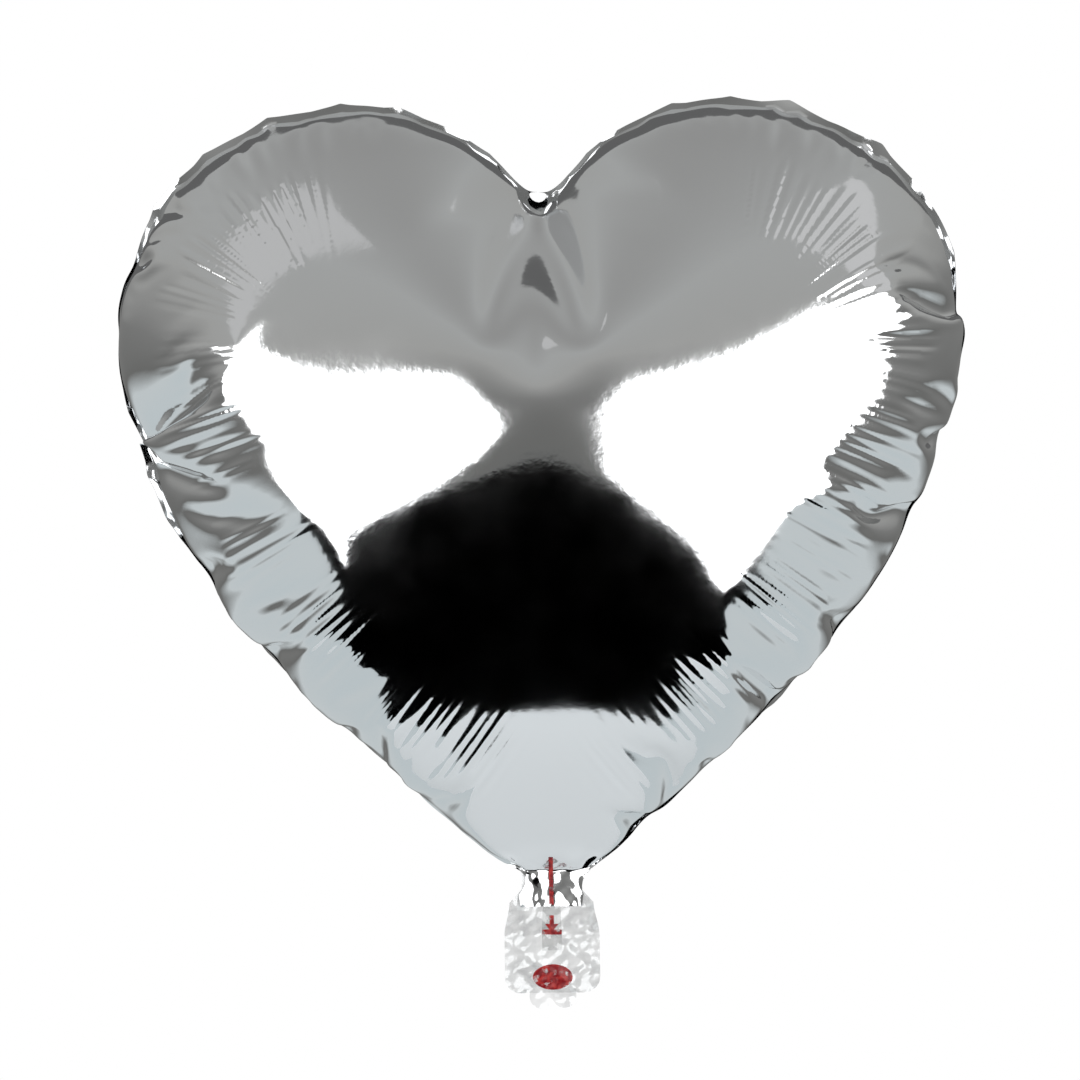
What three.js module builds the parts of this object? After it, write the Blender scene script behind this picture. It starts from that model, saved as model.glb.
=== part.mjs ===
// Heart-shaped foil balloon, inflated: two sealed foil panels, the flat film valve in their neck,
// and the clear film tail below it, whose front lip opens for filling.
// Millimetres, +Z up, front towards -Y. The origin is the middle of the neck line, where the heart
// meets its neck and the balloon is tied.
import * as THREE from "three";
import { LoftGeometry } from "three/addons/geometries/LoftGeometry.js";

// The seam line of the inflated heart, right half, in X and Z.
const CLEFT_Z = 299;
const CLEFT_ROUND = 5; // level run on each side of the cleft's lowest point
const LOBE_X = 82;
const LOBE_Z = 239;
const LOBE_RADIUS = 102;
const LOBE_START = THREE.MathUtils.degToRad(116);
const LOBE_END = THREE.MathUtils.degToRad(-14);
const SHOULDER_PULL = 34; // length of the curve handle between cleft and lobe
const FLANK_PULL = 86; // handle below the lobe
const TIP_PULL = 88; // handle above the neck
const TIP_ANGLE = THREE.MathUtils.degToRad(46); // of the flank to the vertical, at the neck

// Panels.
const DEPTH = 92; // of one panel's dome at the middle of the heart
const DOME_CENTRE_Z = 200;
const DOME_POWER = 1.6;
const DOME_ROOT = 0.7;
const OVAL_X = 150; // the dome's inner contour lines run into this oval
const OVAL_Z = 130;
const FOIL = 0.8; // drawn thickness of a panel
const FLANGE = 7; // width of the flat heat-sealed seam
const SEAM_GAP = 0.15; // from the middle plane to a panel along the seam
const NECK_GAP = 1.0; // the same where the valve films pass between the panels
const NECK_GAP_FULL = 34; // distance from the neck up to which the wide gap holds
const NECK_GAP_END = 62; // and where it has closed to the seam gap
const NECK_HALF = 20;
const NECK_END_Z = -16.4;
const HALF_STEPS = 34; // points of half the seam line
const NECK_STEPS = 4;
const RINGS = [0.12, 0.3, 0.47, 0.62, 0.75, 0.85, 0.92, 0.97, 1];
const CENTRE_DIMPLE = 0.05; // the inner face's small middle ring steps back, so its cap faces inwards

// Valve and tail films.
const FILM = 0.3;
const FILM_GAP = 0.4; // from the middle plane to a film
const FILM_HALF = 21.5;
const VALVE_HALF = 15;
const VALVE_TOP_Z = 56;
const VALVE_END_Z = -17.6;
const STRIP = 0.2;
const STRIP_HALF = 3.5;
const FOLD_Z = -19.2; // hinge line of the tail
const TAIL_TOP_Z = FOLD_Z - 1.2;
const TAIL_END_Z = -55.6;
const TAIL_CORNER = 7;
const LIP_Z = -39.5; // hinge line of the inlet lip
const LIP_CLEARANCE = 0.9;
const TAB_X = 5.2; // the pull tab's two lobes
const TAB_RADIUS = 5.4;
const TAB_Z = -57.4;

// Printed marks.
const PRINT = 0.2;
const PRINT_GAP = 0.3;
const LINE_HALF = 0.9;
const ARROW_TOP_Z = -24;
const ARROW_END_Z = -29.6;
const ARROW_HALF = 4.4;
const INLET_Z = -48.4;
const INLET_X_RADIUS = 9;
const INLET_Z_RADIUS = 5.8;

const SILVER = { color: 0xd9dcdf, roughness: 0.08, metalness: 1 };
const CLEAR_FILM = { color: 0xe9ecee, roughness: 0.25, metalness: 0, transparent: true, opacity: 0.4 };
const RELEASE_INK = { color: 0xcfd3cf, roughness: 0.7, metalness: 0 };
const RED_INK = { color: 0xc62a25, roughness: 0.45, metalness: 0 };

// One named sub-part with its own material.
function piece(name, geometry, look) {
  const mesh = new THREE.Mesh(geometry, new THREE.MeshStandardMaterial(look));
  mesh.name = name;
  return mesh;
}

// A flat outline in X and Z given thickness: it fills the layer from y = near to y = far.
function layer(outline, near, far) {
  const geometry = new THREE.ExtrudeGeometry(outline, {
    depth: far - near,
    bevelEnabled: false,
    curveSegments: 10,
  });
  geometry.rotateX(Math.PI / 2);
  geometry.translate(0, far, 0);
  return geometry;
}

// The seam line as a closed loop of points: right half from the cleft down, neck line, left half up.
function seamLoop() {
  const start = new THREE.Vector2(
    LOBE_X + LOBE_RADIUS * Math.cos(LOBE_START),
    LOBE_Z + LOBE_RADIUS * Math.sin(LOBE_START),
  );
  const end = new THREE.Vector2(
    LOBE_X + LOBE_RADIUS * Math.cos(LOBE_END),
    LOBE_Z + LOBE_RADIUS * Math.sin(LOBE_END),
  );
  const half = new THREE.Path();
  half.moveTo(0, CLEFT_Z);
  half.bezierCurveTo(
    CLEFT_ROUND,
    CLEFT_Z,
    start.x - SHOULDER_PULL * 0.3 * Math.sin(LOBE_START),
    start.y + SHOULDER_PULL * 0.3 * Math.cos(LOBE_START),
    start.x,
    start.y,
  );
  half.absarc(LOBE_X, LOBE_Z, LOBE_RADIUS, LOBE_START, LOBE_END, true);
  half.bezierCurveTo(
    end.x + FLANK_PULL * Math.sin(LOBE_END),
    end.y - FLANK_PULL * Math.cos(LOBE_END),
    NECK_HALF + TIP_PULL * Math.sin(TIP_ANGLE),
    TIP_PULL * Math.cos(TIP_ANGLE),
    NECK_HALF,
    0,
  );
  const right = half.getSpacedPoints(HALF_STEPS);
  const neck = [];
  for (let i = 1; i < NECK_STEPS; i++) {
    neck.push(new THREE.Vector2(NECK_HALF * (1 - (2 * i) / NECK_STEPS), 0));
  }
  const left = right
    .slice(1)
    .reverse()
    .map((p) => new THREE.Vector2(-p.x, p.y));
  return [...right, ...neck, ...left];
}

// The outer edge of the seam flange, point for point with the loop; the neck strip is its lowest part.
function flangeLoop(seam) {
  return seam.map((p, i) => {
    if (p.y < 1e-6 && Math.abs(p.x) < NECK_HALF + 1e-6) {
      return new THREE.Vector2(p.x, NECK_END_Z);
    }
    const before = seam[(i + seam.length - 1) % seam.length];
    const after = seam[(i + 1) % seam.length];
    const along = after.clone().sub(before).normalize();
    return new THREE.Vector2(p.x - FLANGE * along.y, p.y + FLANGE * along.x);
  });
}

// One contour of the dome: t = 1 is the seam and t = 0 the middle. Inner contours turn into an oval.
function domeContour(seam, t) {
  const share = t * t * (3 - 2 * t);
  return seam.map((p) => {
    const out = new THREE.Vector2(p.x, p.y - DOME_CENTRE_Z);
    const angle = out.angle();
    const oval = new THREE.Vector2(OVAL_X * Math.cos(angle), OVAL_Z * Math.sin(angle));
    out.lerp(oval, 1 - share).multiplyScalar(t);
    return new THREE.Vector2(out.x, out.y + DOME_CENTRE_Z);
  });
}

// Distance from the middle plane to the panel's inner face at a point of the seam.
function seamGap(p) {
  const wide = 1 - THREE.MathUtils.smoothstep(Math.hypot(p.x, p.y), NECK_GAP_FULL, NECK_GAP_END);
  return SEAM_GAP + (NECK_GAP - SEAM_GAP) * wide;
}

// One foil panel, domed towards y = side, with its half of the seam flange and of the neck.
function panel(side) {
  const seam = seamLoop();
  const edge = flangeLoop(seam);
  const gaps = seam.map(seamGap);
  const section = (contour, rise, t) =>
    contour.map((p, i) => {
      const gap = THREE.MathUtils.lerp(SEAM_GAP, gaps[i], t);
      return new THREE.Vector3(p.x, side * (gap + rise), p.y);
    });
  const height = (t) => Math.pow(1 - Math.pow(t, DOME_POWER), DOME_ROOT);
  const shrink = 1 - FOIL / LOBE_RADIUS;
  const innerSection = (t, rise) => {
    const contour = domeContour(seam, t).map(
      (p) => new THREE.Vector2(p.x * shrink, DOME_CENTRE_Z + (p.y - DOME_CENTRE_Z) * shrink),
    );
    return section(contour, rise, t);
  };
  const top = (DEPTH - FOIL) * height(RINGS[0]);
  const inner = [
    innerSection(RINGS[0] / 2, top - CENTRE_DIMPLE),
    ...RINGS.map((t) => innerSection(t, (DEPTH - FOIL) * height(t))),
  ];
  const outer = RINGS.map((t) => section(domeContour(seam, t), FOIL + (DEPTH - FOIL) * height(t), t));
  const rim = [section(edge, 0, 1), section(edge, FOIL, 1)];
  const sections = [...inner, ...rim, ...outer.reverse()];
  if (side < 0) {
    sections.forEach((s) => s.reverse());
  }
  return new LoftGeometry(sections, { capStart: true, capEnd: true });
}

// A valve film: full tail width in the neck, narrower and round-topped inside the heart.
function valveOutline(endZ, halfWide, halfTop, topZ) {
  const shape = new THREE.Shape();
  shape.moveTo(-halfWide, endZ);
  shape.lineTo(halfWide, endZ);
  shape.lineTo(halfWide, -2);
  shape.lineTo(halfTop, 6);
  shape.absarc(halfTop - 3, topZ - 3, 3, 0, Math.PI / 2, false);
  shape.absarc(3 - halfTop, topZ - 3, 3, Math.PI / 2, Math.PI, false);
  shape.lineTo(-halfTop, 6);
  shape.lineTo(-halfWide, -2);
  return shape;
}

function rectangle(half, lowZ, highZ) {
  const shape = new THREE.Shape();
  shape.moveTo(-half, lowZ);
  shape.lineTo(half, lowZ);
  shape.lineTo(half, highZ);
  shape.lineTo(-half, highZ);
  return shape;
}

// A tail film that ends in two round lower corners, with the two-lobed pull tab if it has one.
function tailOutline(topZ, tab) {
  const shape = new THREE.Shape();
  const inX = FILM_HALF - TAIL_CORNER;
  const inZ = TAIL_END_Z + TAIL_CORNER;
  shape.moveTo(-FILM_HALF, topZ);
  shape.lineTo(-FILM_HALF, inZ);
  shape.absarc(-inX, inZ, TAIL_CORNER, Math.PI, 1.5 * Math.PI, false);
  if (tab) {
    const meet = Math.acos((TAIL_END_Z - TAB_Z) / TAB_RADIUS);
    const notch = Math.acos(TAB_X / TAB_RADIUS);
    shape.absarc(-TAB_X, TAB_Z, TAB_RADIUS, Math.PI / 2 + meet, 2 * Math.PI - notch, false);
    shape.absarc(TAB_X, TAB_Z, TAB_RADIUS, Math.PI + notch, 2.5 * Math.PI - meet, false);
  }
  shape.absarc(inX, inZ, TAIL_CORNER, 1.5 * Math.PI, 2 * Math.PI, false);
  shape.lineTo(FILM_HALF, topZ);
  return shape;
}

// The printed arrow that points up the filling channel: a head on a short cross bar.
function arrowOutline() {
  const shape = new THREE.Shape();
  const barZ = ARROW_END_Z + 1.4;
  shape.moveTo(-ARROW_HALF, ARROW_END_Z);
  shape.lineTo(ARROW_HALF, ARROW_END_Z);
  shape.lineTo(ARROW_HALF, barZ);
  shape.lineTo(LINE_HALF, barZ + 0.6);
  shape.lineTo(LINE_HALF, ARROW_TOP_Z);
  shape.lineTo(-LINE_HALF, ARROW_TOP_Z);
  shape.lineTo(-LINE_HALF, barZ + 0.6);
  shape.lineTo(-ARROW_HALF, barZ);
  return shape;
}

function inletOutline() {
  const shape = new THREE.Shape();
  shape.absellipse(0, INLET_Z, INLET_X_RADIUS, INLET_Z_RADIUS, 0, 2 * Math.PI, false, 0);
  return shape;
}

// The balloon: heart with the valve inside its neck.
function heart() {
  const group = new THREE.Group();
  const valve = valveOutline(VALVE_END_Z, FILM_HALF, VALVE_HALF, VALVE_TOP_Z);
  const strip = rectangle(STRIP_HALF, VALVE_END_Z, VALVE_TOP_Z - 6);
  const lineFront = -(NECK_GAP + FOIL + PRINT_GAP);
  const line = rectangle(LINE_HALF, NECK_END_Z + 1, -1);
  group.add(
    piece("front_foil_panel", panel(-1), SILVER),
    piece("back_foil_panel", panel(1), SILVER),
    piece("valve_front_film", layer(valve, -FILM_GAP - FILM, -FILM_GAP), CLEAR_FILM),
    piece("valve_back_film", layer(valve, FILM_GAP, FILM_GAP + FILM), CLEAR_FILM),
    piece("valve_release_strip", layer(strip, -STRIP / 2, STRIP / 2), RELEASE_INK),
    piece("neck_guide_line", layer(line, lineFront - PRINT, lineFront), RED_INK),
  );
  return group;
}

// The clear film tail below the foil neck. It folds about X at FOLD_Z.
function tail() {
  const group = new THREE.Group();
  const front = rectangle(FILM_HALF, LIP_Z + LIP_CLEARANCE, TAIL_TOP_Z);
  const strip = rectangle(STRIP_HALF, TAIL_END_Z + 3, TAIL_TOP_Z);
  const printFront = -(FILM_GAP + FILM + PRINT_GAP);
  group.add(
    piece("tail_front_film", layer(front, -FILM_GAP - FILM, -FILM_GAP), CLEAR_FILM),
    piece("tail_back_film", layer(tailOutline(TAIL_TOP_Z, true), FILM_GAP, FILM_GAP + FILM), CLEAR_FILM),
    piece("tail_release_strip", layer(strip, -STRIP / 2, STRIP / 2), RELEASE_INK),
    piece("tail_guide_arrow", layer(arrowOutline(), printFront - PRINT, printFront), RED_INK),
  );
  return group;
}

// The lower end of the front film, which lifts about X at LIP_Z to let a filling tube in.
function inletLip() {
  const group = new THREE.Group();
  const lip = tailOutline(LIP_Z - LIP_CLEARANCE, false);
  const printFront = -(FILM_GAP + FILM + PRINT_GAP);
  group.add(
    piece("inlet_lip_film", layer(lip, -FILM_GAP - FILM, -FILM_GAP), CLEAR_FILM),
    piece("inlet_mark", layer(inletOutline(), printFront - PRINT, printFront), RED_INK),
  );
  return group;
}

const balloon = new THREE.Group();
balloon.add(heart(), tail(), inletLip());
export default balloon;
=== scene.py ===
"""The looks of the heart-shaped foil balloon.

Each panel starts as the flat heart that it is cut from. The two are joined along the seam and inflated
as film that bends but doesn't stretch, while the seam is led along the outline of the filled balloon.
Parts of the result are then smoothed, it is scaled to the frame, and it is narrowed to its neck. The
fine ripples, the neck's pleats and the film's crinkles are formulas.
Metres, +Z up, front towards -Y.
"""
import math

import bpy
import numpy as np
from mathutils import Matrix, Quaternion, Vector
from mathutils.bvhtree import BVHTree
from mathutils.geometry import delaunay_2d_cdt

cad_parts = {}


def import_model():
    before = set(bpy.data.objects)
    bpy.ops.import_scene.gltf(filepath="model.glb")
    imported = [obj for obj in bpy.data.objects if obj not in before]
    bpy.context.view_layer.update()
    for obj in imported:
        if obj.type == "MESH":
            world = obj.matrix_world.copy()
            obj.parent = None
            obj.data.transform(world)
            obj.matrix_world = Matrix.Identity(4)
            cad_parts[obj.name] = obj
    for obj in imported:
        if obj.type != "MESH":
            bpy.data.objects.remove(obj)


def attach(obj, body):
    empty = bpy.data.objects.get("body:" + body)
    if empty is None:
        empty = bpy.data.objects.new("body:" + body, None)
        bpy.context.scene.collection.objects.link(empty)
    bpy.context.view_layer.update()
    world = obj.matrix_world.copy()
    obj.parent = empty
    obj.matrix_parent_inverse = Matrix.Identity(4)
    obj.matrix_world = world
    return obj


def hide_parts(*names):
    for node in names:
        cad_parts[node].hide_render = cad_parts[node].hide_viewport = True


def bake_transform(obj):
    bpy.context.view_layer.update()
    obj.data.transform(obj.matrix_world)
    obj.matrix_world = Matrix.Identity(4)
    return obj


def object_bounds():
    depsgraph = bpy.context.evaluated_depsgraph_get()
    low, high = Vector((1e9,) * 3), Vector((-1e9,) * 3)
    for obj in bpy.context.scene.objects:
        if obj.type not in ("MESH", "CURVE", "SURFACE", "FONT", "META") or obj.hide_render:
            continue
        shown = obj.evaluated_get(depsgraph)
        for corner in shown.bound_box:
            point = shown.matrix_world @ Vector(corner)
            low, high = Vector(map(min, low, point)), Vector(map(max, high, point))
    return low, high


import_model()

CAD_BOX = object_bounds()

# Half of a heart's seam line: a cleft curve, a lobe arc and a flank curve down to the neck's corner.
# FLAT is the cut of one panel, found by a search for a cut that fills to the photographed outline.
# FULL is the line that its flange takes on the filled balloon. Its cleft and lobes are the CAD's.
FLAT = dict(lobe_x=0.0792, lobe_z=0.2187, radius=(0.1349, 0.1326), start=108.6, end=-14, cleft_z=0.3191,
            cleft_flat=-0.04, shoulder=0.45, flank=0.464, tip=0.282, tip_angle=59, neck_z=-0.0351)
FULL = dict(lobe_x=0.082, lobe_z=0.239, radius=(0.102, 0.102), start=116, end=-14, cleft_z=0.299,
            cleft_flat=0.1, shoulder=0.45, flank=0.39, tip=0.40, tip_angle=46, neck_z=0.0)
NECK_HALF = 0.0205
NECK_Z = FLAT["neck_z"]
NECK_LENGTH = 0.0175
NECK_TAPER = 0.002
NECK_FLANGE = 0.002  # how far the neck's upper corners stand out past the seam
BAND = 0.008  # width of the heat-sealed flange

# Inflation.
COARSE = 0.0065  # first mesh size; each refinement halves it
SEED = 1
START_GAP = 0.002  # from the middle to each panel before it is filled
START_NOISE = 0.0003
FILM_STIFFNESS = 0.05
FLANGE_STIFFNESS = 0.3  # two layers sealed together
SEAM_PULL = 0.25  # share of its distance from the FULL line that the seam goes back each step
SEAM_FLATTEN = 0.97
NECK_SETTLE = 0.5  # share of its height that the neck's end of the seam keeps each step
MOST_DEEPENING = 1.14  # the most that the heart is stretched in depth to reach the frame's
FUNNEL_SLOPE = 0.85  # depth over height of the cone that bounds the heart above its neck
FUNNEL_POWER = 6  # how closely the heart follows the cone before it leaves it
SHARP_ANGLE = 55  # degrees; the foil's sharper folds aren't shaded smooth

FRONT, BACK, FLANGE = 0, 1, 2
LAYER_GAP = 0.00012  # from the flange's middle to each panel's layer

# Studio.
FLOOR_Z = -0.8
FLOOR_RADIUS = 0.55
# the room's colour from straight down, 0, to straight up, 1
ROOM = [(0.0, (0.52, 0.58, 0.60)), (0.30, (0.56, 0.60, 0.61)), (0.40, (0.15, 0.15, 0.145)),
        (0.55, (0.20, 0.20, 0.195)), (0.75, (0.36, 0.36, 0.35)), (0.9, (0.38, 0.385, 0.38)),
        (1.0, (0.30, 0.30, 0.295))]

# Fine ripples between the rim and the taut middle, square to the seam.
RIPPLE_WAVE = 0.0047
RIPPLE_HEIGHT = 0.00024
RIPPLE_FROM = 0.032  # distance from the seam
RIPPLE_TO = 0.088
RIPPLE_INSET = 0.055  # where RIPPLE_WAVE is measured

# Clear film of the valve and tail.
FILM_STEP = 0.001  # mesh size
FILM_GAP = 0.00035  # from the middle to each film
NECK_OPEN = 0.0009  # how far the films hold each foil layer of the neck off the middle
FILM_HALF = 0.0215
VALVE_HALF = 0.015
VALVE_TOP_Z = 0.056
NECK_END_Z = -0.0164
LIP_Z = -0.0395
LIP_REST = 0.0009  # how far above its line the lip begins, and below it ends its bend
TAIL_END_Z = -0.0556
TAIL_CORNER = 0.007
TAB_X = 0.0052
TAB_RADIUS = 0.0054
TAB_Z = -0.0574
RELEASE_HALF = 0.0045
RELEASE_MARGIN = 0.003  # from the release print to the film's ends
CREASE_WAVES = 0.0045 * 1.3 ** np.arange(8)
CREASE_SLOPE = 0.036  # height of a crease over its wavelength
CREASE_SEED = 7
NECK_CURL = 0.004
NECK_PLEAT = 0.0004
NECK_PLEAT_WAVE = 0.013
FOIL_GATHER = 0.26
FILM_GATHER = 0.12

# Print.
PRINT_STEP = 0.0006  # mesh size
PRINT_LIFT = 0.00012
LINE_HALF = 0.001
LINE_TOP_Z = 0.006
LINE_MARGIN = 0.0006  # from the line's lower end to the neck's
ARROW_TOP_Z = -0.0206
ARROW_HEAD_Z = -0.0245
ARROW_BAR_Z = -0.0270
ARROW_END_Z = -0.0293
ARROW_HALF = 0.0044
INLET_Z = -0.0484
INLET_RADIUS = (0.0090, 0.0058)

# Camera.
CENTRE = Vector((-0.0023, 0, 0.149))
DISTANCE = 2.2
HALF_VIEW = 0.244
ROLL = -1


def smoothstep(low, high, value):
    t = np.clip((value - low) / (high - low), 0, 1)
    return t * t * (3 - 2 * t)


# ---------------------------------------------------------------- flat cut

def bezier(p0, p1, p2, p3, count):
    t = np.linspace(0, 1, count)[:, None]
    a, b, c, d = (np.array(p) for p in (p0, p1, p2, p3))
    return (1 - t) ** 3 * a + 3 * (1 - t) ** 2 * t * b + 3 * (1 - t) * t * t * c + t ** 3 * d


def resample(points, step):
    """Points at about the given step along a polyline."""
    along = np.r_[0, np.cumsum(np.linalg.norm(np.diff(points, axis=0), axis=1))]
    places = np.linspace(0, along[-1], max(1, round(along[-1] / step)) + 1)
    return np.c_[np.interp(places, along, points[:, 0]), np.interp(places, along, points[:, 1])]


def mirrored(right):
    """The left half of a symmetric outline, from bottom to top."""
    return (right * [-1, 1])[::-1]


def heart_half(shape):
    """The right half of a seam line, from the cleft to the neck's corner."""
    start, end, tip_angle = (math.radians(shape[key]) for key in ("start", "end", "tip_angle"))
    angles = np.linspace(start, end, 80)
    arc = np.c_[np.cos(angles), np.sin(angles)] * shape["radius"] + [shape["lobe_x"], shape["lobe_z"]]
    cleft = np.array([0.0, shape["cleft_z"]])
    reach = np.linalg.norm(arc[0] - cleft)
    into_arc = np.array([math.sin(start), -math.cos(start)])
    shoulder = arc[0] - into_arc * reach * shape["shoulder"]
    top = bezier(cleft, cleft + [shape["cleft_flat"] * reach, 0], shoulder, arc[0], 40)
    corner = np.array([NECK_HALF, shape["neck_z"]])
    fall = np.linalg.norm(corner - arc[-1])
    out_of_arc = np.array([math.sin(end), -math.cos(end)])
    into_neck = np.array([-math.sin(tip_angle), -math.cos(tip_angle)])
    flank = bezier(arc[-1], arc[-1] + out_of_arc * fall * shape["flank"],
                   corner - into_neck * fall * shape["tip"], corner, 80)
    return np.vstack([top, arc[1:-1], flank])


def cut_outlines(step):
    """The seam loop and the cut's outer edge, both closed and clockwise from the cleft."""
    right = resample(heart_half(FLAT), step)
    along = np.gradient(right, axis=0)
    along /= np.linalg.norm(along, axis=1)[:, None]
    edge = right + np.c_[-along[:, 1], along[:, 0]] * BAND
    edge[0, 0] = 0
    end_z = NECK_Z - NECK_LENGTH
    edge = edge[(edge[:, 1] > NECK_Z + 0.003) & ((edge[:, 0] > NECK_HALF) | (edge[:, 1] > 0))]
    neck_side = np.array([[NECK_HALF + NECK_FLANGE, NECK_Z], [NECK_HALF - NECK_TAPER, end_z]])
    neck_end = np.array([[NECK_HALF - NECK_TAPER, end_z], [0, end_z]])
    edge = np.vstack([edge, resample(neck_side, step), resample(neck_end, step)[1:]])
    neck_line = resample(np.array([[NECK_HALF, NECK_Z], [-NECK_HALF, NECK_Z]]), step)
    seam = np.vstack([right, neck_line[1:-1], mirrored(right)[:-1]])
    return seam, np.vstack([edge, mirrored(edge)[1:-1]])


def hexagonal_points(low, high, step):
    rows = []
    row_step = step * math.sqrt(3) / 2
    for k, z in enumerate(np.arange(low[1], high[1] + row_step, row_step)):
        x = np.arange(low[0] + (step / 2) * (k % 2), high[0] + step, step)
        rows.append(np.c_[x, np.full(len(x), z)])
    return np.vstack(rows)


def distance_to(points, loop):
    """Distance from each point to a closed polyline."""
    along = np.roll(loop, -1, axis=0) - loop
    square = (along ** 2).sum(1)
    out = []
    for part in np.array_split(points, max(1, len(points) // 2000)):
        away = part[:, None, :] - loop[None]
        t = np.clip((away * along).sum(2) / square, 0, 1)
        out.append(np.sqrt(((away - t[..., None] * along) ** 2).sum(2)).min(1))
    return np.concatenate(out)


def locate(points, line):
    """Each point's distance from an open polyline, and the index along it where that is measured."""
    along = np.diff(line, axis=0)
    square = (along ** 2).sum(1)
    places, gaps = [], []
    for part in np.array_split(points, max(1, len(points) // 2000)):
        away = part[:, None, :] - line[None, :-1]
        t = np.clip((away * along).sum(2) / square, 0, 1)
        gap = ((away - t[..., None] * along) ** 2).sum(2)
        best = gap.argmin(1)
        rows = np.arange(len(part))
        places.append(best + t[rows, best])
        gaps.append(np.sqrt(gap[rows, best]))
    return np.concatenate(gaps), np.concatenate(places)


def nearest_on(points, loop):
    """The point of a closed polyline nearest to each point."""
    along = np.roll(loop, -1, axis=0) - loop
    square = np.maximum((along ** 2).sum(1), 1e-12)
    away = points[:, None, :] - loop[None]
    t = np.clip((away * along).sum(2) / square, 0, 1)
    best = (((away - t[..., None] * along) ** 2).sum(2)).argmin(1)
    rows = np.arange(len(points))
    return loop[best] + t[rows, best][:, None] * along[best]


def inside(points, loop):
    x, z = points.T
    odd = np.zeros(len(points), bool)
    for (x0, z0), (x1, z1) in zip(loop, np.roll(loop, -1, axis=0)):
        if z0 != z1:
            crosses = ((z0 > z) != (z1 > z)) & (x < (x1 - x0) * (z - z0) / (z1 - z0) + x0)
            odd ^= crosses
    return odd


def triangulate(loops, step):
    """Points and triangles that fill the last of the loops and follow all of them."""
    outer = loops[-1]
    fill = hexagonal_points(outer.min(0) - step, outer.max(0) + step, step)
    fill = fill[inside(fill, outer)]
    near = np.min([distance_to(fill, loop) for loop in loops], axis=0)
    points = np.vstack([*loops, fill[near > 0.6 * step]])
    edges = []
    first = 0
    for loop in loops:
        edges += [(first + i, first + (i + 1) % len(loop)) for i in range(len(loop))]
        first += len(loop)
    verts, _, faces, *_ = delaunay_2d_cdt([Vector(p) for p in points], edges, [], 0, 1e-7)
    verts = np.array([tuple(v) for v in verts])
    faces = np.array([f for f in faces if len(f) == 3])
    faces = faces[inside(verts[faces].mean(1), outer)]
    a, b, c = (verts[faces[:, k]] for k in range(3))
    turned = np.cross(b - a, c - a) < 0
    faces[turned] = faces[turned][:, ::-1]
    return verts, faces


# ---------------------------------------------------------------- inflation

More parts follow.
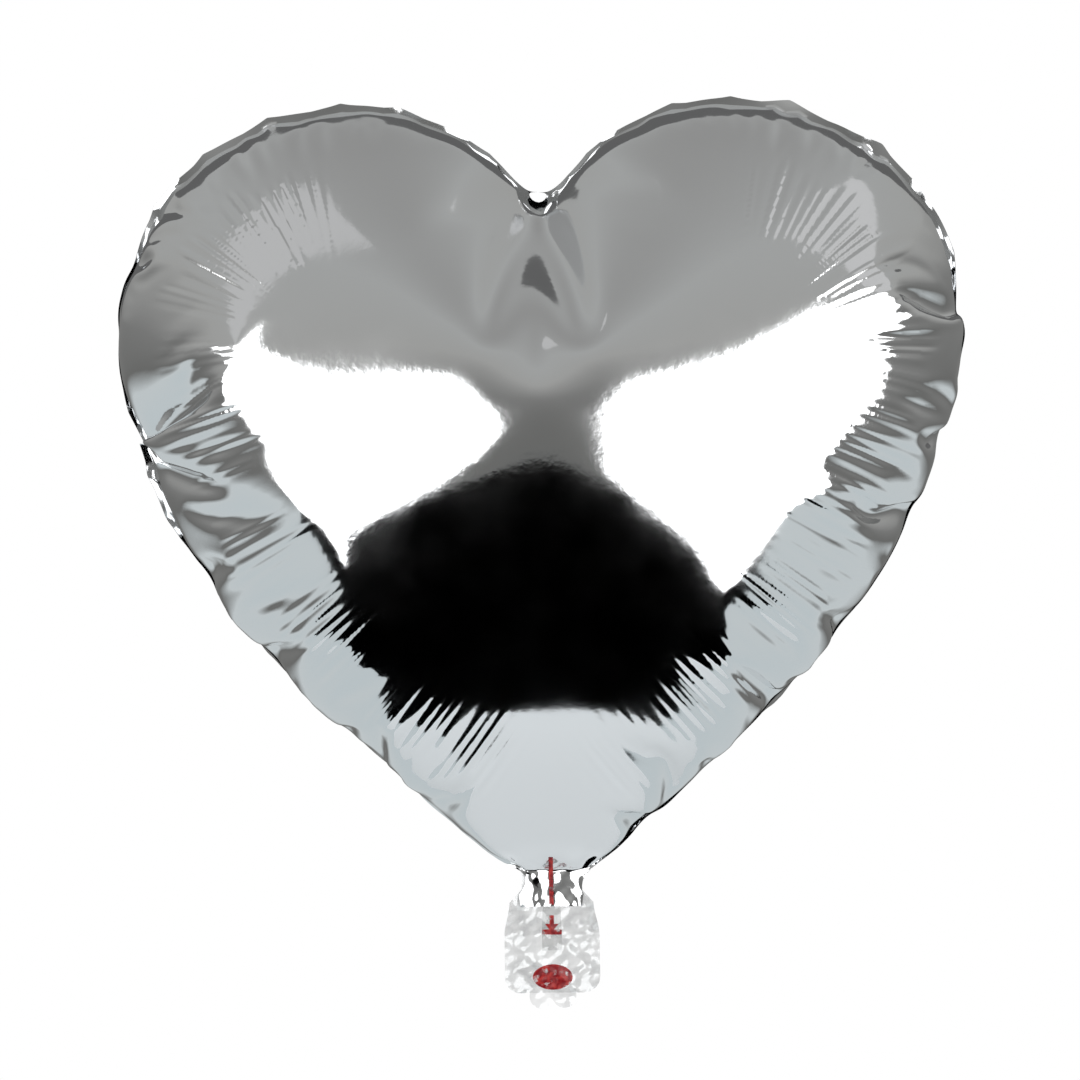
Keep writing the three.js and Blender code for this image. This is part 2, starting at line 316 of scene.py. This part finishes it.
class Foil:
    """Two panels that share the seam, and one flange: flat places, places in space and triangles."""

    def __init__(self, step):
        seam, outer = cut_outlines(step)
        verts, faces = triangulate([seam, outer], step)
        in_panel = inside(verts[faces].mean(1), seam)
        of_panel = np.zeros(len(verts), bool)
        of_panel[faces[in_panel]] = True
        of_flange = np.zeros(len(verts), bool)
        of_flange[faces[~in_panel]] = True
        twin = np.arange(len(verts))
        doubled = of_panel & ~of_flange
        twin[doubled] = len(verts) + np.arange(doubled.sum())
        self.flat = np.vstack([verts, verts[doubled]])
        self.tri = np.vstack([faces[in_panel], twin[faces[in_panel]][:, ::-1], faces[~in_panel]])
        counts = [in_panel.sum(), in_panel.sum(), (~in_panel).sum()]
        self.kind = np.repeat([FRONT, BACK, FLANGE], counts)
        self.side = np.zeros(len(self.flat))
        self.side[:len(verts)][doubled] = -1
        self.side[len(verts):] = 1
        rng = np.random.default_rng(SEED)
        self.at = np.c_[self.flat[:, 0], self.side * START_GAP, self.flat[:, 1]]
        self.at += rng.normal(0, START_NOISE, self.at.shape)

    def edges(self):
        """All edges, the corner pairs that face each other over an inner edge, and the seam's points."""
        t = self.tri
        pairs = np.sort(np.vstack([t[:, [0, 1]], t[:, [1, 2]], t[:, [2, 0]]]), axis=1)
        facing = np.r_[t[:, 2], t[:, 0], t[:, 1]]
        key = pairs[:, 0].astype(np.int64) * len(self.flat) + pairs[:, 1]
        order = np.argsort(key, kind="stable")
        key = key[order]
        first = np.nonzero(np.r_[True, key[1:] != key[:-1]])[0]
        uses = np.diff(np.r_[first, len(key)])
        twice = first[uses == 2]
        facing = facing[order]
        pairs = pairs[order][first]
        return pairs, np.c_[facing[twice], facing[twice + 1]], np.unique(pairs[uses == 3])

    def refine(self, chosen=None):
        """Splits the chosen triangles in four, or all of them, and their neighbours so that none gaps."""
        edge, *_ = self.edges()
        count = len(self.flat)
        key = edge[:, 0].astype(np.int64) * count + edge[:, 1]
        ends = self.tri[:, [[0, 1], [1, 2], [2, 0]]]
        of_tri = np.searchsorted(key, ends.min(2).astype(np.int64) * count + ends.max(2))
        split = np.zeros(len(edge), bool)
        split[of_tri if chosen is None else of_tri[chosen]] = True
        while (two := split[of_tri].sum(1) == 2).any():
            split[of_tri[two]] = True
        number = np.full(len(edge), -1)
        number[split] = count + np.arange(split.sum())
        middle = number[of_tri]
        parts = (middle >= 0).sum(1)
        a, b, c = self.tri[parts == 3].T
        ab, bc, ca = middle[parts == 3].T
        quarters = [np.c_[a, ab, ca], np.c_[ab, b, bc], np.c_[ca, bc, c], np.c_[ab, bc, ca]]
        one = np.nonzero(parts == 1)[0]
        side = (middle[one] >= 0).argmax(1)
        a, b, c = (self.tri[one, (side + k) % 3] for k in range(3))
        between = middle[one, side]
        halves = [np.c_[a, between, c], np.c_[between, b, c]]
        whole = self.tri[parts == 0]
        kinds = [self.kind[parts == 0], *[self.kind[parts == 3]] * 4, *[self.kind[one]] * 2]
        self.tri = np.vstack([whole, *quarters, *halves])
        self.kind = np.concatenate(kinds)
        cut = edge[split]
        self.side = np.concatenate([self.side, np.sign(self.side[cut].sum(1))])
        for name in ("flat", "at"):
            old = getattr(self, name)
            setattr(self, name, np.vstack([old, (old[cut[:, 0]] + old[cut[:, 1]]) / 2]))

    def relax(self, steps, sweeps, pressure, keep):
        """Steps the film under gas pressure. keep is the share of its speed that it keeps each step."""
        count = len(self.flat)
        edge, facing, seam = self.edges()
        single = np.float32
        on_flange = np.zeros(count, bool)
        on_flange[self.tri[self.kind == FLANGE]] = True
        stiff = on_flange[facing].all(1)
        held = self.lengths(edge, count)
        folds = [(group, single(0.5 * FILM_STIFFNESS)) for group in self.lengths(facing[~stiff], count)]
        folds += [(group, single(0.5 * FLANGE_STIFFNESS)) for group in self.lengths(facing[stiff], count)]
        panel = self.tri[self.kind != FLANGE]
        p0, p1, p2 = (panel[:, k].copy() for k in range(3))
        size = float(np.median(np.linalg.norm(np.diff(self.flat[edge], axis=1), axis=2)))
        push = single(pressure / (6 * size * size))
        line = heart_half(FULL)
        line = np.vstack([line, mirrored(line)])
        wide = seam[self.flat[seam, 1] > NECK_Z + 0.001]
        neck = seam[self.flat[seam, 1] <= NECK_Z + 0.001]
        at = np.ascontiguousarray(self.at.T).astype(single)
        speed = np.zeros_like(at)
        for _ in range(steps):
            u, w = at[:, p1] - at[:, p0], at[:, p2] - at[:, p0]
            force = np.stack([u[1] * w[2] - u[2] * w[1], u[2] * w[0] - u[0] * w[2],
                              u[0] * w[1] - u[1] * w[0]]) * push
            gained = [sum(np.bincount(p, force[k], count) for p in (p0, p1, p2)) for k in range(3)]
            speed = (speed + np.stack(gained).astype(single)) * single(keep)
            new = at + speed
            x, y, z = new[0].copy(), new[1].copy(), new[2].copy()
            for sweep in range(sweeps):
                if sweep % 2 == 0:
                    unfold(x, y, z, folds)
                hold_lengths(x, y, z, held)
            new = np.stack([x, y, z])
            goal = nearest_on(new[::2, wide].T, line)
            new[::2, wide] += (goal.T - new[::2, wide]) * single(SEAM_PULL)
            new[1, wide] *= single(SEAM_FLATTEN)
            new[1, neck] = 0
            new[2, neck] *= single(NECK_SETTLE)
            speed = new - at
            at = new
        self.at = at.T.astype(float)

    def lengths(self, pairs, count):
        """Groups of pairs that have no point in common, with their flat length."""
        flat = np.linalg.norm(self.flat[pairs[:, 0]] - self.flat[pairs[:, 1]], axis=1)
        used = [0] * count
        colour = []
        for i, j in pairs.tolist():
            free = ~(used[i] | used[j])
            bit = free & -free
            used[i] |= bit
            used[j] |= bit
            colour.append(bit.bit_length())
        colour = np.array(colour)
        groups = []
        for c in range(1, colour.max() + 1):
            g = colour == c
            groups.append((pairs[g, 0].copy(), pairs[g, 1].copy(), flat[g].astype(np.float32)))
        return groups


def hold_lengths(x, y, z, groups):
    """Moves each pair's ends so that they are their flat length apart."""
    half = np.float32(0.5)
    for i, j, rest in groups:
        xi, xj, yi, yj, zi, zj = x.take(i), x.take(j), y.take(i), y.take(j), z.take(i), z.take(j)
        dx, dy, dz = xi - xj, yi - yj, zi - zj
        q = half * (1 - rest / np.sqrt(dx * dx + dy * dy + dz * dz))
        dx *= q
        dy *= q
        dz *= q
        x[i], x[j] = xi - dx, xj + dx
        y[i], y[j] = yi - dy, yj + dy
        z[i], z[j] = zi - dz, zj + dz


def unfold(x, y, z, groups):
    """Pushes the corners on both sides of an edge apart where the film is folded there."""
    for (i, j, rest), weight in groups:
        dx, dy, dz = x[i] - x[j], y[i] - y[j], z[i] - z[j]
        q = weight * np.minimum(1 - rest / np.sqrt(dx * dx + dy * dy + dz * dz), 0).astype(np.float32)
        x[i] -= dx * q
        x[j] += dx * q
        y[i] -= dy * q
        y[j] += dy * q
        z[i] -= dz * q
        z[j] += dz * q


def inflate():
    foil = Foil(COARSE)
    foil.relax(steps=260, sweeps=8, pressure=4e-5, keep=0.97)
    foil.relax(steps=120, sweeps=14, pressure=1e-5, keep=0.95)
    foil.refine()
    foil.relax(steps=60, sweeps=12, pressure=5e-6, keep=0.94)
    foil.refine()
    foil.relax(steps=30, sweeps=12, pressure=2e-6, keep=0.92)
    return foil


# ---------------------------------------------------------------- ripples

def wander(x, wavelength, rng):
    """A smooth random line between about -1 and 1."""
    out = np.zeros_like(x)
    for k in range(5):
        out += np.sin(2 * math.pi * (x / wavelength * rng.uniform(0.5, 1.5) + rng.uniform()))
    return out / 2.5


def ripple_field(flat):
    """The ripples' height at each flat point of one side, and how strong they are there."""
    half = resample(heart_half(FLAT), 0.005)
    along = np.gradient(half, axis=0)
    along /= np.linalg.norm(along, axis=1)[:, None]
    inset = half - np.c_[-along[:, 1], along[:, 0]] * RIPPLE_INSET
    forward = np.maximum((np.diff(inset, axis=0) * along[1:]).sum(1), 0)
    round_rim = np.r_[0, np.cumsum(forward)]
    gap, place = locate(np.c_[abs(flat[:, 0]), flat[:, 1]], half)
    u = np.interp(place, np.arange(len(half)), round_rim)
    share = place / len(half)
    height = np.zeros(len(flat))
    strength = np.zeros(len(flat))
    for side in (-1, 1):
        on = (flat[:, 0] * side >= 0)
        rng = np.random.default_rng(SEED + 3 + side)
        v = u[on]
        group = np.clip(0.62 + 0.55 * wander(v, 0.06, rng), 0.12, 1)
        group = group * smoothstep(0.14, 0.30, share[on]) * (1 - smoothstep(0.90, 0.97, share[on]))
        begins = RIPPLE_FROM + 0.006 * wander(v, 0.025, rng)
        ends = RIPPLE_TO + 0.007 * wander(v, 0.013, rng)
        reach = smoothstep(begins, begins + 0.012, gap[on]) * (1 - smoothstep(ends - 0.025, ends, gap[on]))
        phase = 2 * math.pi * (v / RIPPLE_WAVE + 0.22 * wander(v, 0.017, rng))
        strength[on] = group * reach
        height[on] = strength[on] * np.sin(phase) * (0.8 + 0.3 * wander(v, 0.009, rng))
    return height * RIPPLE_HEIGHT, strength


def add_ripples(foil):
    _, strength = ripple_field(foil.flat)
    foil.refine((foil.kind == FRONT) & (strength[foil.tri].max(1) > 0.2))
    smooth(foil, 6, ripple_field(foil.flat)[1])
    height, _ = ripple_field(foil.flat)
    height *= abs(foil.side)
    foil.at += vertex_normals(foil.at, foil.tri[foil.kind != FLANGE]) * height[:, None]


# ---------------------------------------------------------------- meshes

def mesh_object(name, verts, faces, sharp=None, flat=None):
    """A smooth-shaded object. flat, if given, is kept as its UV map in metres."""
    used, index = np.unique(faces, return_inverse=True)
    faces = index.reshape(faces.shape)
    mesh = bpy.data.meshes.new(name)
    mesh.vertices.add(len(used))
    mesh.vertices.foreach_set("co", verts[used].astype(np.float32).ravel())
    mesh.loops.add(faces.size)
    mesh.loops.foreach_set("vertex_index", faces.astype(np.int32).ravel())
    mesh.polygons.add(len(faces))
    mesh.polygons.foreach_set("loop_start", np.arange(0, faces.size, 3, dtype=np.int32))
    mesh.update()
    mesh.validate()
    mesh.polygons.foreach_set("use_smooth", np.ones(len(mesh.polygons), bool))
    if flat is not None:
        layer = mesh.uv_layers.new(name="cut")
        layer.data.foreach_set("uv", flat[used][faces.ravel()].astype(np.float32).ravel())
    if sharp is not None:
        mesh.set_sharp_from_angle(angle=math.radians(sharp))
    made = bpy.data.objects.new(name, mesh)
    bpy.context.scene.collection.objects.link(made)
    return made


def vertex_normals(verts, faces):
    a, b, c = (verts[faces[:, k]] for k in range(3))
    n = np.cross(b - a, c - a)
    out = np.zeros_like(verts)
    for k in range(3):
        for axis in range(3):
            out[:, axis] += np.bincount(faces[:, k], n[:, axis], len(verts))
    return out / np.maximum(np.linalg.norm(out, axis=1), 1e-12)[:, None]


def smooth(foil, rounds, weight):
    """Evens out the film, by up to half of each point's offset from its neighbours in every round."""
    edge, *_ = foil.edges()
    total_points = len(foil.at)
    count = np.bincount(edge.ravel(), minlength=total_points)[:, None]
    weight = np.clip(weight, 0, 1)[:, None] * 0.5
    for _ in range(rounds):
        near = [np.bincount(edge[:, 0], foil.at[edge[:, 1], axis], total_points)
                + np.bincount(edge[:, 1], foil.at[edge[:, 0], axis], total_points) for axis in range(3)]
        foil.at += (np.stack(near, axis=1) / count - foil.at) * weight


def even_out(foil):
    """Smooths the taut middle, the stiff flange and the fold below the cleft."""
    gap, _ = locate(np.c_[abs(foil.flat[:, 0]), foil.flat[:, 1]], resample(heart_half(FLAT), COARSE))
    smooth(foil, 30, (gap - 0.05) / 0.05)
    cleft_gap = np.hypot(foil.flat[:, 0], foil.flat[:, 1] - FLAT["cleft_z"])
    smooth(foil, 60, 1 - smoothstep(0.035, 0.09, cleft_gap))
    smooth(foil, 60, (1 - smoothstep(0.004, 0.014, gap)) * smoothstep(0, 0.01, foil.flat[:, 1] - NECK_Z))
    smooth(foil, 3, np.ones(len(gap)))


def even_neck(foil):
    """Smooths the heart above its neck and holds it inside a cone there."""
    x, z = foil.flat.T
    near = smoothstep(-0.012, -0.004, z - NECK_Z) * (1 - smoothstep(0.015, 0.045, z - NECK_Z))
    smooth(foil, 60, near * (1 - smoothstep(0.022, 0.034, abs(x))))
    cone = FUNNEL_SLOPE * np.clip(foil.at[:, 2], 1e-6, None)
    foil.at[:, 1] *= (1 + (abs(foil.at[:, 1]) / cone) ** FUNNEL_POWER) ** (-1 / FUNNEL_POWER)


def fit_to_frame(foil):
    """Centres the heart, scales it to the frame's box and lays the neck flat below the origin."""
    low, high = CAD_BOX
    heart = foil.at[foil.flat[:, 1] > NECK_Z + 0.02]
    foil.at[:, 0] -= (heart[:, 0].min() + heart[:, 0].max()) / 2
    wide = (high.x - low.x) / (heart[:, 0].max() - heart[:, 0].min())
    tall = high.z / heart[:, 2].max()
    deep = (high.y - low.y) / (heart[:, 1].max() - heart[:, 1].min())
    foil.at *= [wide, min(deep, MOST_DEEPENING), tall]
    below = NECK_Z - foil.flat[:, 1]
    flat_neck = np.c_[foil.flat[:, 0], np.zeros(len(foil.flat)), below / NECK_LENGTH * NECK_END_Z]
    foil.at += (flat_neck - foil.at) * smoothstep(0, 0.004, below)[:, None]


def foil_pieces(foil):
    """The front and the back foil panel, each with its own layer of the flange."""
    flange = foil.tri[foil.kind == FLANGE]
    normal = vertex_normals(foil.at, flange)
    x, _, z = foil.at.T
    opening = NECK_OPEN * (1 - smoothstep(0.013, 0.018, abs(x))) * (1 - smoothstep(0.004, 0.014, z))
    pieces = []
    for name, kind, sign in (("foil_front", FRONT, 1), ("foil_back", BACK, -1)):
        # the flange's triangles turn the same way as the front panel's
        layer = flange if sign > 0 else flange[:, ::-1]
        verts = foil.at + normal * LAYER_GAP * sign
        verts[:, 1] -= opening * sign
        verts = crumple(verts, FOIL_GATHER)
        faces = np.vstack([foil.tri[foil.kind == kind], layer])
        pieces.append(mesh_object(name, verts, faces, sharp=SHARP_ANGLE, flat=foil.flat))
    return pieces


# ---------------------------------------------------------------- valve and tail

def creases(x, z):
    """Height of crinkled film: folds of several sizes, straight and sharp."""
    rng = np.random.default_rng(CREASE_SEED)
    out = np.zeros_like(x)
    for wave in CREASE_WAVES:
        angle = rng.uniform(0, math.pi)
        t = (x * math.cos(angle) + z * math.sin(angle)) / wave + rng.uniform()
        out += (4 * abs(t - np.floor(t + 0.5)) - 1) * CREASE_SLOPE * wave
    return out


def crumple(points, gather=FILM_GATHER):
    """Bends the neck and the tail, all their layers alike, and draws the neck together."""
    x, y, z = points.T
    share = 1 - smoothstep(-0.005, 0.010, z)
    neck = share * smoothstep(-0.030, -0.014, z)
    curl = NECK_CURL * (np.minimum(abs(x), FILM_HALF) / FILM_HALF) ** 2
    pleats = NECK_PLEAT * np.cos(2 * math.pi * x / NECK_PLEAT_WAVE + 40 * z)
    bent_y = y + share * creases(x, z) * (1 - 0.6 * neck) + neck * (pleats - curl)
    return np.c_[x * (1 - gather * neck), bent_y, z]


def rounded_end(half, z, corner):
    """The lower end of a strip with rounded corners, from right to left."""
    angles = np.linspace(0, math.pi / 2, 8)
    turn = np.c_[half - corner + corner * np.cos(angles), z + corner - corner * np.sin(angles)]
    return np.vstack([turn, mirrored(turn)])


def strip(half, top, bottom):
    return np.array([[half, top], [half, bottom], [-half, bottom], [-half, top]])


def valve_top():
    """The left and right sides of the valve from the tail's width up to its top."""
    right = np.array([[FILM_HALF, NECK_END_Z + 0.002], [VALVE_HALF, NECK_END_Z + 0.008],
                      [VALVE_HALF, VALVE_TOP_Z]])
    return np.vstack([mirrored(right)[::-1], right[::-1]])


def tab_end():
    """The lower end of the back film: rounded corners and the tab's two lobes."""
    angles = np.linspace(math.radians(19), math.radians(-158), 18)
    lobe = np.c_[TAB_X + TAB_RADIUS * np.cos(angles), TAB_Z + TAB_RADIUS * np.sin(angles)]
    corner = rounded_end(FILM_HALF, TAIL_END_Z, TAIL_CORNER)[:8]
    right = np.vstack([corner, lobe])
    return np.vstack([right, mirrored(right)])


def ellipse(centre_z, radii):
    angles = np.linspace(0, -2 * math.pi, 40)[:-1]
    return np.c_[radii[0] * np.cos(angles), centre_z + radii[1] * np.sin(angles)]


def fill(name, outline, surface, step, front=True):
    """A single layer of film with the given flat outline. surface gives its points from x and z."""
    closed = np.vstack([outline, outline[:1]])
    loop = np.vstack([resample(closed[i:i + 2], step)[:-1] for i in range(len(closed) - 1)])
    flat, faces = triangulate([loop], step)
    return mesh_object(name, surface(flat), faces if front else faces[:, ::-1], flat=flat)


def film_surface(side):
    """side is -1 for the front film, 1 for the back film and 0 for what lies between them."""
    def surface(flat):
        x, z = flat.T
        swell = 1 + 2.2 * np.clip(1 - (x / FILM_HALF) ** 2, 0, 1) * (1 - smoothstep(-0.028, -0.018, z))
        return crumple(np.c_[x, side * FILM_GAP * swell, z])
    return surface


def printed_on(target):
    """A surface just in front of an object's own."""
    tree = BVHTree.FromObject(target, bpy.context.evaluated_depsgraph_get())

    def surface(flat):
        out = []
        for x, z in flat:
            hit, normal, *_ = tree.ray_cast(Vector((x, -0.2, z)), Vector((0, 1, 0)))
            out.append(hit + normal * math.copysign(PRINT_LIFT, -normal.y))
        return np.array(out)
    return surface


# ---------------------------------------------------------------- materials

def new_material(name):
    material = bpy.data.materials.new(name)
    material.use_nodes = True
    return material, material.node_tree.nodes, material.node_tree.links


def noise(nodes, links, scale, detail=2.0):
    """The factor of a noise texture in object space."""
    place = nodes.new("ShaderNodeTexCoord")
    made = nodes.new("ShaderNodeTexNoise")
    made.inputs["Scale"].default_value = scale
    made.inputs["Detail"].default_value = detail
    links.new(place.outputs["Object"], made.inputs["Vector"])
    return made.outputs["Fac"]


def mapped(nodes, links, value, low, high, to_low, to_high):
    made = nodes.new("ShaderNodeMapRange")
    made.inputs["From Min"].default_value = low
    made.inputs["From Max"].default_value = high
    made.inputs["To Min"].default_value = to_low
    made.inputs["To Max"].default_value = to_high
    links.new(value, made.inputs["Value"])
    return made.outputs["Result"]


def bump(nodes, links, height, distance):
    made = nodes.new("ShaderNodeBump")
    made.inputs["Distance"].default_value = distance
    links.new(height, made.inputs["Height"])
    return made.outputs["Normal"]


def silver_foil():
    """Metallised film: a near mirror, with a faint haze and orange peel."""
    material, nodes, links = new_material("silver_foil")
    shader = nodes["Principled BSDF"]
    shader.inputs["Base Color"].default_value = (0.90, 0.91, 0.92, 1)
    shader.inputs["Metallic"].default_value = 1
    haze = mapped(nodes, links, noise(nodes, links, 40), 0.3, 0.7, 0.05, 0.10)
    links.new(haze, shader.inputs["Roughness"])
    links.new(bump(nodes, links, noise(nodes, links, 260), 0.00002), shader.inputs["Normal"])
    return material


def clear_film():
    """Thin clear film: mostly see-through, hazier and shinier where it is seen edge-on."""
    material, nodes, links = new_material("clear_film")
    shader = nodes["Principled BSDF"]
    shader.inputs["Base Color"].default_value = (0.74, 0.76, 0.77, 1)
    shader.inputs["Metallic"].default_value = 0.55
    shader.inputs["Roughness"].default_value = 0.12
    facing = nodes.new("ShaderNodeLayerWeight")
    facing.inputs["Blend"].default_value = 0.35
    edge_on = mapped(nodes, links, facing.outputs["Facing"], 0, 1, 0.26, 1.0)
    cloud = mapped(nodes, links, noise(nodes, links, 120), 0.3, 0.7, 0.7, 1.3)
    share = nodes.new("ShaderNodeMath")
    share.operation = "MULTIPLY"
    links.new(edge_on, share.inputs[0])
    links.new(cloud, share.inputs[1])
    links.new(share.outputs[0], shader.inputs["Alpha"])
    links.new(bump(nodes, links, noise(nodes, links, 500), 0.0001), shader.inputs["Normal"])
    return material


def ink(name, colour, faded, wear, roughness, alpha):
    """Ink printed on film, worn through in places."""
    material, nodes, links = new_material(name)
    shader = nodes["Principled BSDF"]
    shader.inputs["Roughness"].default_value = roughness
    mix = nodes.new("ShaderNodeMix")
    mix.data_type = "RGBA"
    mix.inputs["A"].default_value = (*colour, 1)
    mix.inputs["B"].default_value = (*faded, 1)
    links.new(mapped(nodes, links, noise(nodes, links, 420, 4), 0.42, 0.62, 0, 1), mix.inputs["Factor"])
    links.new(mix.outputs["Result"], shader.inputs["Base Color"])
    worn = mapped(nodes, links, noise(nodes, links, 300, 5), wear - 0.06, wear + 0.06, 0.25 * alpha, alpha)
    links.new(worn, shader.inputs["Alpha"])
    return material


# ---------------------------------------------------------------- stage

def emitting(name, strength):
    material, nodes, links = new_material(name)
    nodes.clear()
    emission = nodes.new("ShaderNodeEmission")
    emission.inputs["Color"].default_value = (1, 1, 1, 1)
    emission.inputs["Strength"].default_value = strength
    output = nodes.new("ShaderNodeOutputMaterial")
    links.new(emission.outputs[0], output.inputs["Surface"])
    return material


def card(name, offset, size, strength, spin=0.0):
    """A flat card that faces the balloon, turned by spin degrees. It shows only in reflections."""
    w, h = size[0] / 2, size[1] / 2
    mesh = bpy.data.meshes.new(name)
    mesh.from_pydata([(-w, -h, 0), (w, -h, 0), (w, h, 0), (-w, h, 0)], [], [(0, 1, 2, 3)])
    made = bpy.data.objects.new(name, mesh)
    bpy.context.scene.collection.objects.link(made)
    made.location = CENTRE + Vector(offset)
    made.rotation_mode = "QUATERNION"
    facing = (-Vector(offset)).to_track_quat("Z", "Y")
    made.rotation_quaternion = facing @ Quaternion((0, 0, 1), math.radians(spin))
    made.visible_camera = False
    mesh.materials.append(emitting(name, strength))


def camera():
    """Looks at CENTRE from the front and shows HALF_VIEW on each side of it."""
    data = bpy.data.cameras.new("camera")
    made = bpy.data.objects.new("camera", data)
    bpy.context.scene.collection.objects.link(made)
    bpy.context.scene.camera = made
    back = Vector((0, -1, 0))
    made.location = CENTRE + back * DISTANCE
    made.rotation_mode = "QUATERNION"
    level = (-back).to_track_quat("-Z", "Y")
    made.rotation_quaternion = level @ Quaternion((0, 0, 1), math.radians(ROLL))
    data.lens = data.sensor_width / 2 * DISTANCE / HALF_VIEW


def world():
    """White to the camera. To the foil, a room that is pale below, dark at its own height and grey above."""
    made = bpy.data.worlds.new("studio")
    bpy.context.scene.world = made
    made.use_nodes = True
    nodes, links = made.node_tree.nodes, made.node_tree.links
    place = nodes.new("ShaderNodeTexCoord")
    split = nodes.new("ShaderNodeSeparateXYZ")
    links.new(place.outputs["Generated"], split.inputs[0])
    height = mapped(nodes, links, split.outputs["Z"], -1, 1, 0, 1)
    ramp = nodes.new("ShaderNodeValToRGB")
    links.new(height, ramp.inputs["Fac"])
    stops = ramp.color_ramp.elements
    stops[0].position, stops[0].color = 0, (*ROOM[0][1], 1)
    stops[1].position, stops[1].color = 1, (*ROOM[-1][1], 1)
    for position, colour in ROOM[1:-1]:
        stops.new(position).color = (*colour, 1)
    seen = nodes.new("ShaderNodeLightPath")
    mix = nodes.new("ShaderNodeMix")
    mix.data_type = "RGBA"
    mix.inputs["B"].default_value = (1, 1, 1, 1)
    links.new(seen.outputs["Is Camera Ray"], mix.inputs["Factor"])
    links.new(ramp.outputs["Color"], mix.inputs["A"])
    links.new(mix.outputs["Result"], nodes["Background"].inputs["Color"])


def floor():
    mesh = bpy.data.meshes.new("floor")
    ring = [(FLOOR_RADIUS * math.cos(a), FLOOR_RADIUS * math.sin(a), FLOOR_Z)
            for a in np.linspace(0, 2 * math.pi, 96, endpoint=False)]
    mesh.from_pydata(ring, [], [tuple(range(len(ring)))])
    made = bpy.data.objects.new("floor", mesh)
    bpy.context.scene.collection.objects.link(made)
    material, nodes, _ = new_material("pale_floor")
    shader = nodes["Principled BSDF"]
    shader.inputs["Base Color"].default_value = (0.82, 0.84, 0.86, 1)
    shader.inputs["Roughness"].default_value = 0.9
    shader.inputs["Emission Color"].default_value = (0.88, 0.97, 1, 1)
    shader.inputs["Emission Strength"].default_value = 0.25
    mesh.materials.append(material)


# ---------------------------------------------------------------- assembly

def dress(piece, material, nodes):
    piece.data.materials.append(material)
    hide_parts(*nodes)


def build_foil(foil):
    width, length = np.ptp(foil.flat, axis=0)
    silver = silver_foil()
    for piece, node in zip(foil_pieces(foil), ("front_foil_panel", "back_foil_panel")):
        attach(piece, "heart")
        dress(piece, silver, [node])
        yield piece


def build_valve(foil_front):
    film = clear_film()
    release = ink("release_ink", colour=(0.62, 0.63, 0.60), faded=(0.72, 0.73, 0.71),
                  wear=0.35, roughness=0.6, alpha=0.45)
    red = ink("red_ink", colour=(0.30, 0.008, 0.014), faded=(0.62, 0.05, 0.045),
              wear=0.38, roughness=0.35, alpha=1.0)
    lip_top = LIP_Z + LIP_REST
    top = valve_top()
    front = fill("valve_film_front", np.vstack([top, strip(FILM_HALF, LIP_Z, lip_top)[1:3]]),
                 film_surface(-1), FILM_STEP)
    lip = fill("inlet_lip", np.vstack([[[-FILM_HALF, lip_top], [FILM_HALF, lip_top]],
                                       rounded_end(FILM_HALF, TAIL_END_Z, TAIL_CORNER)]),
               film_surface(-1), FILM_STEP)
    back = fill("valve_film_back", np.vstack([top, tab_end()]), film_surface(1), FILM_STEP, front=False)
    strip_outline = strip(RELEASE_HALF, VALVE_TOP_Z - RELEASE_MARGIN, LIP_Z + RELEASE_MARGIN)
    channel = fill("release_print", strip_outline, film_surface(0), FILM_STEP)
    line = fill("guide_line", strip(LINE_HALF, LINE_TOP_Z, NECK_END_Z + LINE_MARGIN),
                printed_on(foil_front), PRINT_STEP)
    arrow_side = np.array([[LINE_HALF, ARROW_TOP_Z], [LINE_HALF, ARROW_HEAD_Z],
                           [0.7 * ARROW_HALF, ARROW_HEAD_Z], [LINE_HALF, ARROW_BAR_Z],
                           [ARROW_HALF, ARROW_BAR_Z], [ARROW_HALF, ARROW_END_Z]])
    arrow = fill("guide_arrow", np.vstack([arrow_side, mirrored(arrow_side)]),
                 printed_on(front), PRINT_STEP)
    mark = fill("inlet_mark_print", ellipse(INLET_Z, INLET_RADIUS), printed_on(lip), PRINT_STEP)
    dress(front, film, ["valve_front_film", "tail_front_film"])
    dress(lip, film, ["inlet_lip_film"])
    dress(back, film, ["valve_back_film", "tail_back_film"])
    dress(channel, release, ["valve_release_strip", "tail_release_strip"])
    dress(line, red, ["neck_guide_line"])
    dress(arrow, red, ["tail_guide_arrow"])
    dress(mark, red, ["inlet_mark"])
    for piece in (front, back, channel):
        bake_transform(piece)
    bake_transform(lip)
    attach(line, "heart")
    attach(arrow, "tail")
    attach(mark, "inlet_lip")


foil = inflate()
even_out(foil)
fit_to_frame(foil)
even_neck(foil)
add_ripples(foil)
foil_front, foil_back = build_foil(foil)
build_valve(foil_front)

camera()
world()
floor()
card("flag", offset=(0, -1.9, -1.60), size=(4.2, 2.7), strength=0)
card("softbox_left", offset=(-1.25, -1.5, 0.24), size=(1.35, 2.1), strength=2, spin=-34)
card("softbox_right", offset=(1.27, -1.5, 0.14), size=(1.35, 2.1), strength=2, spin=32)
card("overhead", offset=(0, 1.62, 1.27), size=(3.5, 2.2), strength=0.12)
card("bounce_right", offset=(1.6, -0.8, 1.8), size=(1.2, 0.9), strength=0.56)
card("bounce_left", offset=(-1.2, -1.0, 2.0), size=(0.5, 1.4), strength=0.5, spin=20)
bpy.context.scene.view_settings.view_transform = "Standard"
